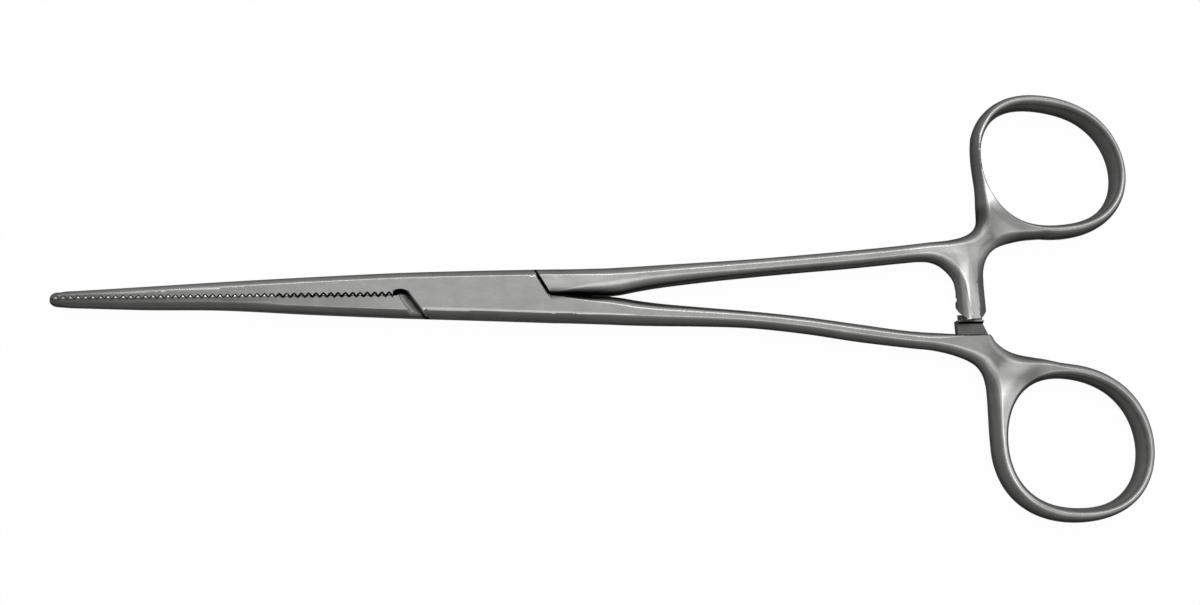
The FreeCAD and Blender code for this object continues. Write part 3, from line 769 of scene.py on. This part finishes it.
# Tongue half. The other forging of the same steel: the lower jaw, the thin tongue that passes through
# the slot of the box, the upper shank, the upper finger ring and the ratchet arm that lies in front.
UPPER_CENTRE = (111.14, 25.01)
UPPER_SHANK = (
    (13.5, -0.22, 4.72, 0.06), (16.8, -0.22, 4.76, 0.24), (20.5, -0.22, 4.86, 0.42),
    (23.8, -0.20, 4.96, 0.50), (26.2, 0.02, 5.10, 0.54), (28.8, 0.52, 5.24, 0.54),
    (32.1, 1.08, 5.46, 0.52), (40.0, 2.05, 5.93, 0.48), (50.2, 3.10, 6.55, 0.42),
    (60.5, 4.00, 7.34, 0.42), (70.7, 4.78, 8.22, 0.42), (80.9, 5.75, 9.20, 0.42))


def upper_line(u):
    """Radius of the upper ring's middle line."""
    return wave(u, 14.073, (2, 0.505, -0.401), (3, 0.285, 0.0), (4, -0.237, -0.052))


def upper_band(u):
    """Width of the upper ring's band."""
    return wave(u, 2.255, (1, 0.235, 0.111), (2, -0.521, -0.162))


def tongue_thickness(x, y, below):
    """Half thickness of the tongue half, whose ring is a little thinner in its left limb."""
    thinning, limb_x, limb_y = 0.4, 100.0, 16.0
    rear = rear_thickness(x, y, UPPER_CENTRE, upper_line, True, below)
    rear = rear - thinning * ease((limb_x - x) / 2.5) * ease((y - limb_y) / 5)
    return np.where(x < BOX_END, jaw_thickness(x, y), rear)


def flagged(rows, flag):
    """Rows that also say whether their edge is square on the underside."""
    rows = np.array(rows, float)
    return np.concatenate([rows, np.full((len(rows), 1), float(flag))], axis=1)


END_PLAY = 0.12
ARM_RIGHT, ARM_FOOT = 96.2, -5.7
teeth = serration(-1)
gullet_y, wall_top_y, wall_foot_y = -0.38, 4.39, -4.8
last_tooth = (teeth[-1][0], gullet_y)
fine_edge, tooth_edge, fine_end = (0.12, 0.1, 1.4), (0.28, 0.25, 1.3), -36
tooth_rows = [(x, y) + (fine_edge if x < fine_end else tooth_edge)
              for x, y in [last_tooth] + teeth[::-1] + [(-76.1, -0.035)]]
left = shifted(CROTCH, SLOT_CORNER, -END_PLAY)
right = shifted(RIGHT_CROTCH, RIGHT_SLOT_CORNER, -END_PLAY)
wall_top = reach_y(*left, wall_top_y)
wall_foot = reach_y(*right, wall_foot_y)
lower_edge = jaw_edge(-1)
lower_edge = lower_edge[lower_edge[:, 0] < wall_foot[0] - CORNER_GAP]
upper_edge = jaw_edge(1)
upper_edge = upper_edge[upper_edge[:, 0] > wall_top[0] + CORNER_GAP]
inner, outer = shank_rows(UPPER_SHANK, 1, 2.2)
inner += [(84.0, 6.03, 1.5, 1.7, 1.9), (86.0, 5.95, 1.7, 1.6, 2.0), (87.8, 5.3, 1.8, 1.5, 1.9),
          (89.3, 3.9, 1.7, 1.6, 1.6), (90.3, 2.2, 1.7, 1.9, 1.6), (ARM_LEFT, 0.2, 1.7, 2.1, 1.6)]
arm = edged([(ARM_LEFT, 0.2), (ARM_LEFT, -0.75), (ARM_LEFT, ARM_FOOT)], (1.7, 2.1, 1.6))
arm_end = edged([(ARM_LEFT, ARM_FOOT), (ARM_RIGHT, ARM_FOOT)], fine_edge)
arm_side = [(ARM_RIGHT, ARM_FOOT, 2.3, 2.25, 1.1), (ARM_RIGHT, 1.5, 2.3, 2.2, 1.1)]
ring_outer = ring_rows(UPPER_CENTRE, upper_line, upper_band, -99, 156, 1)
web = [(ARM_RIGHT, 1.5, 2.3, 2.2, 1.1), (96.35, 4.2, 2.3, 2.0, 1.4), (96.85, 6.0, 2.2, 1.7, 1.8),
       (97.7, 7.3, 2.6, 1.5, 2.0), (99.0, 8.35, 2.6, 1.5, 2.0), (100.6, 9.1, 2.3, 1.7, 2.0),
       (102.6, 9.65, 1.9, 2.1, 2.0), (104.8, 10.1, 1.45, 2.4, 2.0), ring_joint(ring_outer[0])]
outer += [(86.0, 9.72, 1.45, 1.7, 1.9), (90.0, 10.12, 1.6, 1.6, 2.0), (92.2, 10.6, 1.8, 1.5, 2.0),
          (94.0, 11.35, 2.2, 1.5, 2.0), (95.3, 12.3, 2.4, 1.5, 2.0), (96.05, 13.5, 2.1, 1.7, 2.0),
          (96.35, 15.4, 1.7, 1.9, 2.0), (96.5, 18.0, 1.4, 2.2, 2.0), (96.6, 21.0, 1.1, 2.4, 2.0),
          (96.55, 24.0, 0.8, 2.6, 2.0), (96.5, 26.8, 0.75, 2.6, 2.0), (96.6, 29.3, 0.85, 2.6, 2.0),
          ring_joint(ring_outer[-1])]
slot_back = [wall_foot, right[0], (RIGHT_CROTCH[0], UPPER_SHANK[0][1])]
slot_front = [wall_top, left[0], (CROTCH[0], left[0][1] - END_PLAY), last_tooth]
outline = [(lower_edge, 0),
           (straight(edged(slot_back, SHARP), RUN_STEP), 0),
           (smooth(inner, RUN_STEP)[:-1], 0),
           (straight(arm[:2], 0.3)[:-1], 0),
           (straight(arm[1:], RUN_STEP)[:-1], 1),
           (straight(arm_end, RUN_STEP)[:-1], 1),
           (straight(arm_side, RUN_STEP)[:-1], 1),
           (smooth(web, WEB_STEP)[:-1], 0),
           (ring_outer[:-1], 0),
           (smooth(outer, RUN_STEP)[::-1][:-1], 0),
           (upper_edge[::-1], 0),
           (straight(edged(slot_front, SHARP), JAW_STEP)[:-1], 0),
           (straight(tooth_rows, 0.35), 0)]
tongue_loops = [loop([flagged(rows, flag) for rows, flag in outline]),
                flagged(ring_rows(UPPER_CENTRE, upper_line, upper_band, 360, 1.5, -1), 0)]
tongue_half = forging(tongue_loops, tongue_thickness)


def mirrored(block):
    """Same block on the other side of the middle plane."""
    copy = bpy.data.objects.new("mirror", block.data.copy())
    copy.data.transform(Matrix.Translation((0, 0, 2 * MIDDLE)) @ Matrix.Scale(-1, 4, (0, 0, 1)))
    copy.data.flip_normals()
    return copy


def round_block(profile, centre, sides=120):
    """Round block with a closed profile, as radius and height, about an upright line."""
    verts, faces, size = [], [], len(profile)
    for k in range(sides):
        turn, following = 2 * math.pi * k / sides, (k + 1) % sides
        verts += [(centre[0] + r * math.cos(turn), centre[1] + r * math.sin(turn), z) for r, z in profile]
        for j in range(size):
            above = (j + 1) % size
            faces.append((k * size + j, following * size + j, following * size + above, k * size + above))
    mesh = bpy.data.meshes.new("round_block")
    mesh.from_pydata(verts, [], faces)
    return bpy.data.objects.new("round_block", mesh)


def ratchet_room(teeth, left_x):
    """Room behind the ratchet arm: the ramp at its end and the gullets between its teeth."""
    first, pitch, face, land, tooth = -2.05, 2.1, 0.35, 0.7, 1.4
    under, tip_z, gullet_z, ramp_z = -1.0, 1.95, 2.75, 4.6
    profile = [(-6.5, under), (-6.5, ramp_z), (-5.4, ramp_z), (-2.98, tip_z)]
    for k in range(teeth):
        crest = first + pitch * k
        tip = crest + tooth
        profile += [(crest, tip_z), (crest + face, gullet_z), (crest + land, gullet_z), (tip, tip_z)]
    return bar(profile + [(tip, under)], left_x, 110.0)


TONGUE_TOP, OVER = 3.85, 12.0
left_play, right_play = 0.15, 0.42
cheek_left = shifted(CROTCH, CHEEK_FOOT, -left_play)
cheek_right = shifted(RIGHT_CROTCH, CHEEK_HEAD, -right_play)
face_end, face_foot = 25.5, -6.0
cheek = prism([reach_y(*cheek_left, FAR), reach_y(*cheek_left, -FAR), (face_end, -FAR),
               (face_end, face_foot), reach_y(*cheek_right, face_foot), reach_y(*cheek_right, FAR)],
              TONGUE_TOP, OVER)
radius, curve, deep, above, core = 8.16, 2.3, 1.55, 9.0, 0.001
run = math.sqrt(2 * curve * deep - deep ** 2)
profile = [(radius, 2 * MIDDLE), (radius, above), (core, above), (core, TONGUE_TOP),
           (radius - run, TONGUE_TOP)]
for k in range(1, 12):
    rise = k / 12
    profile.append((radius - run + run * rise, TONGUE_TOP + deep * (0.75 * rise + 0.25 * rise ** 2)))
runout_centre, sector_left, sector_foot = (-6.97, 2.93), -24.86, 3.8
sector = prism([(sector_left, -FAR), (0.0, -FAR), CROTCH, (sector_left, CROTCH[1])], sector_foot, OVER)
runout = worked(round_block(profile, runout_centre), sector, "INTERSECT")
tongue_bore = 2.05
seen_room, hidden_room = 89.0, 92.4
for block in (mirrored(cheek), cheek, mirrored(runout), runout, drum(tongue_bore, *THROUGH),
              ratchet_room(1, seen_room), ratchet_room(3, hidden_room)):
    tongue_half = worked(tongue_half, block, "DIFFERENCE")
tongue_half = finished(tongue_half, "tongue_forging", tongue_loops, tongue_thickness)

# Painted shade on the tongue in the narrow gap beside the right cheek of the box.
lock_recess_shade = (0.08, ((("line", (0.8625, 0.5061, -0.01105)), 0.0005, 0.0007),
                      (("Y", 0.0020), 0.0030, 0.0034), ("Z", 0.0042, 0.0046)))
# Painted shade on the tongue below the notch.
notch_floor_shade = (0.05, ((("X", -0.0141), 0.0014, 0.0017), (("Y", 0.0006), 0.0007, 0.0009),
                      ("Z", 0.0042, 0.0046)))
# Painted highlight on the run-out hollow beside the left cheek.
runout_highlight = (3.0, ((("line", (-0.8024, -0.5968, -0.010092)), 0.0016, 0.0022),
                     (("Y", -0.0012), 0.0020, 0.0028), ("Z", 0.0051, 0.0052)))
cheek_shade = (0.12, ((("line", (-0.8024, -0.5968, -0.010092)), 0.0003, 0.0006), ("Z", 0.0051, 0.0052)))
# Painted highlight on the crests of the lower jaw's teeth towards the tip.
tooth_crest_glint = (7.0, (("upright", 0.5, 0.3), (("Y", 0.0006), 0.00070, 0.00078),
                      (("X", -0.0590), 0.0170, 0.0260)))
# Painted shade on the web where the upper shank meets its ring.
upper_web_shade = (0.8, ((("X", 0.1005), 0.0030, 0.0060), (("Y", 0.0122), 0.0020, 0.0050)))
# Painted shade on the gently sloping rim along the outer edge of the upper shank and web.
web_edge_shade = (0.6, ((("X", 0.0930), 0.0050, 0.0080), (("Y", 0.0128), 0.0030, 0.0045),
                  ("upright", 0.995, 0.999)))
# Painted highlight on the crest of the upper ring's left limb.
upper_limb_highlight = (1.8, (("upright", 0.985, 0.94), (("X", 0.0975), 0.0025, 0.0040),
                    (("Y", 0.0250), 0.0065, 0.0100)))
# Painted highlight in a band down the ratchet arm.
arm_band_highlight = (1.6, ((("X", 0.0917), 0.0005, 0.0009), (("Y", -0.0015), 0.0045, 0.0070)))
# Painted highlight on the flat face of the ratchet arm.
arm_face_highlight = (1.6, ((("line", (0.9869, 0.1608, -0.091473)), 0.0004, 0.0014), (("Y", 0.0), 0.0045, 0.0085),
                  ("upright", 0.93, 0.85)))
# Painted highlight along the upper shank just before the web.
web_foot_highlight = (1.4, ((("Y", 0.0079), 0.0003, 0.0012), (("X", 0.0865), 0.0040, 0.0065), ("upright", 0.93, 0.85)))
# Painted shade in a thin line down the ratchet arm.
arm_shade_line = (0.5, ((("line", (0.997, 0.0779, -0.09158)), 0.00005, 0.0002), (("Y", -0.0024), 0.0034, 0.0046),
                  ("upright", 0.7, 0.5)))
# Painted highlight on the upper shank next to the box.
shoulder_highlight = (1.25, ((("X", 0.0185), 0.0050, 0.0120), (("Y", 0.0031), 0.0012, 0.0022), ("upright", 0.96, 0.9)))
# The first ramp paints shade on the lower jaw's upward faces towards its tip, darker than on the upper jaw.
coated(tongue_half, satin_steel_painted_light(
    "tongue_steel_painted_light", ((0.0, 0.22), (0.25, 0.30), (0.45, 0.42), (0.7, 0.78), (1.0, 1.0)),
    (tooth_gap_shade, notch, crotch_shade, lock_recess_shade, notch_floor_shade, runout_highlight, cheek_shade, tooth_crest_glint,
     upper_web_shade, web_edge_shade, upper_limb_highlight, arm_band_highlight, arm_face_highlight, web_foot_highlight, arm_shade_line, shoulder_highlight)))
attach(tongue_half, "tongue")
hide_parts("tongue_half")

# Lock pin. A round pin of the same steel, riveted through both cheeks and ground flush with them, so
# that its ends hardly show on the face of the box.
# The pin's steel paints the same shade on slopes and on faces turned one way, with nothing painted towards
# the tip and no spots.
pin_steel = satin_steel_painted_light("pin_steel_painted_light", ((0.0, 1.0), (1.0, 1.0)), ())
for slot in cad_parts["lock_pin"].material_slots:
    slot.material = pin_steel
